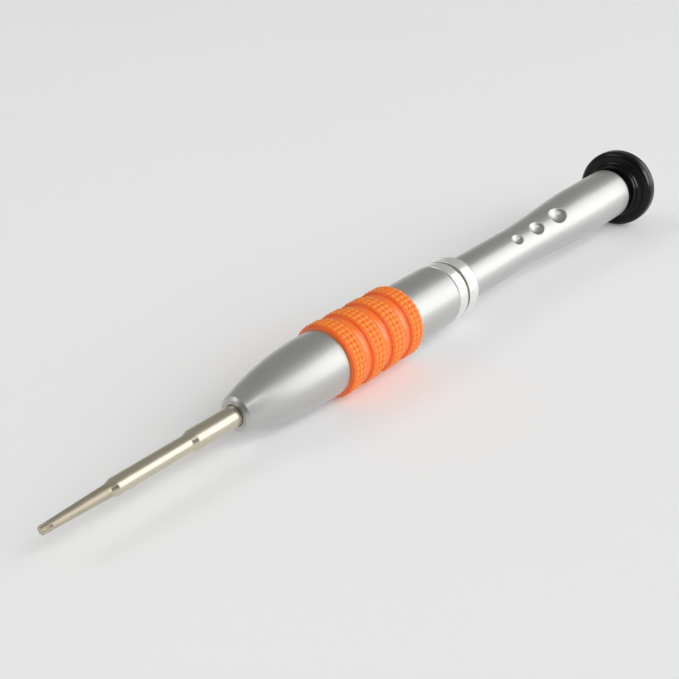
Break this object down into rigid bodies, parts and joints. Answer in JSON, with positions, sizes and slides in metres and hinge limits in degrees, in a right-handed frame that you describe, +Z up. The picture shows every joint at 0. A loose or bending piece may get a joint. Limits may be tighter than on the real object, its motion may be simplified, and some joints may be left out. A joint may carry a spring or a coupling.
{
  "type": "precision screwdriver",
  "caption": "Slim precision screwdriver: stepped plated blade with hexalobular tip, satin aluminium handle, beaded soft grip, bright collar, finger dimples and a free-turning swivel cap.",
  "frame": {"origin": "on the table the tool lies on, under the middle of its length and width", "axes": "+X from the drive tip towards the swivel cap along the table, +Z up; the tool's own axis rises 1.1 degrees towards the cap, because it rests on the grip's first ridge and on the larger cap"},
  "size_m": [0.1456, 0.015, 0.0151],
  "materials": {
    "nickel_steel": "bright nickel plate over ground steel",
    "satin_aluminium": "fine satin, clear anodised",
    "soft_grip": "soft matt elastomer with moulded beads",
    "bright_plate": "polished plate",
    "black_cap": "polished black",
    "black_plug": "fine matt black",
    "zinc_steel": "zinc plated",
    "turned_brass": "turned",
    "white_nylon": "plain"
  },
  "bodies": {
    "handle": {"blade": "nickel_steel", "tang_sleeve": "turned_brass", "front_barrel": "satin_aluminium", "grip_sleeve": "soft_grip", "collar_ring": "bright_plate", "joint_stud": "zinc_steel", "rear_barrel": "satin_aluminium", "cap_bush": "turned_brass", "thrust_washer": "white_nylon"},
    "cap": {"swivel_cap": "black_cap", "cap_plug": "black_plug", "pivot_stem": "zinc_steel", "stem_washer": "zinc_steel", "stem_clip": "zinc_steel"}
  },
  "joints": [
    {"name": "cap_swivel", "type": "hinge", "parent": "handle", "child": "cap", "pos_m": [0.06673, 0, 0.00746], "axis": [0.9998, 0, 0.0194], "continuous": true}
  ]
}
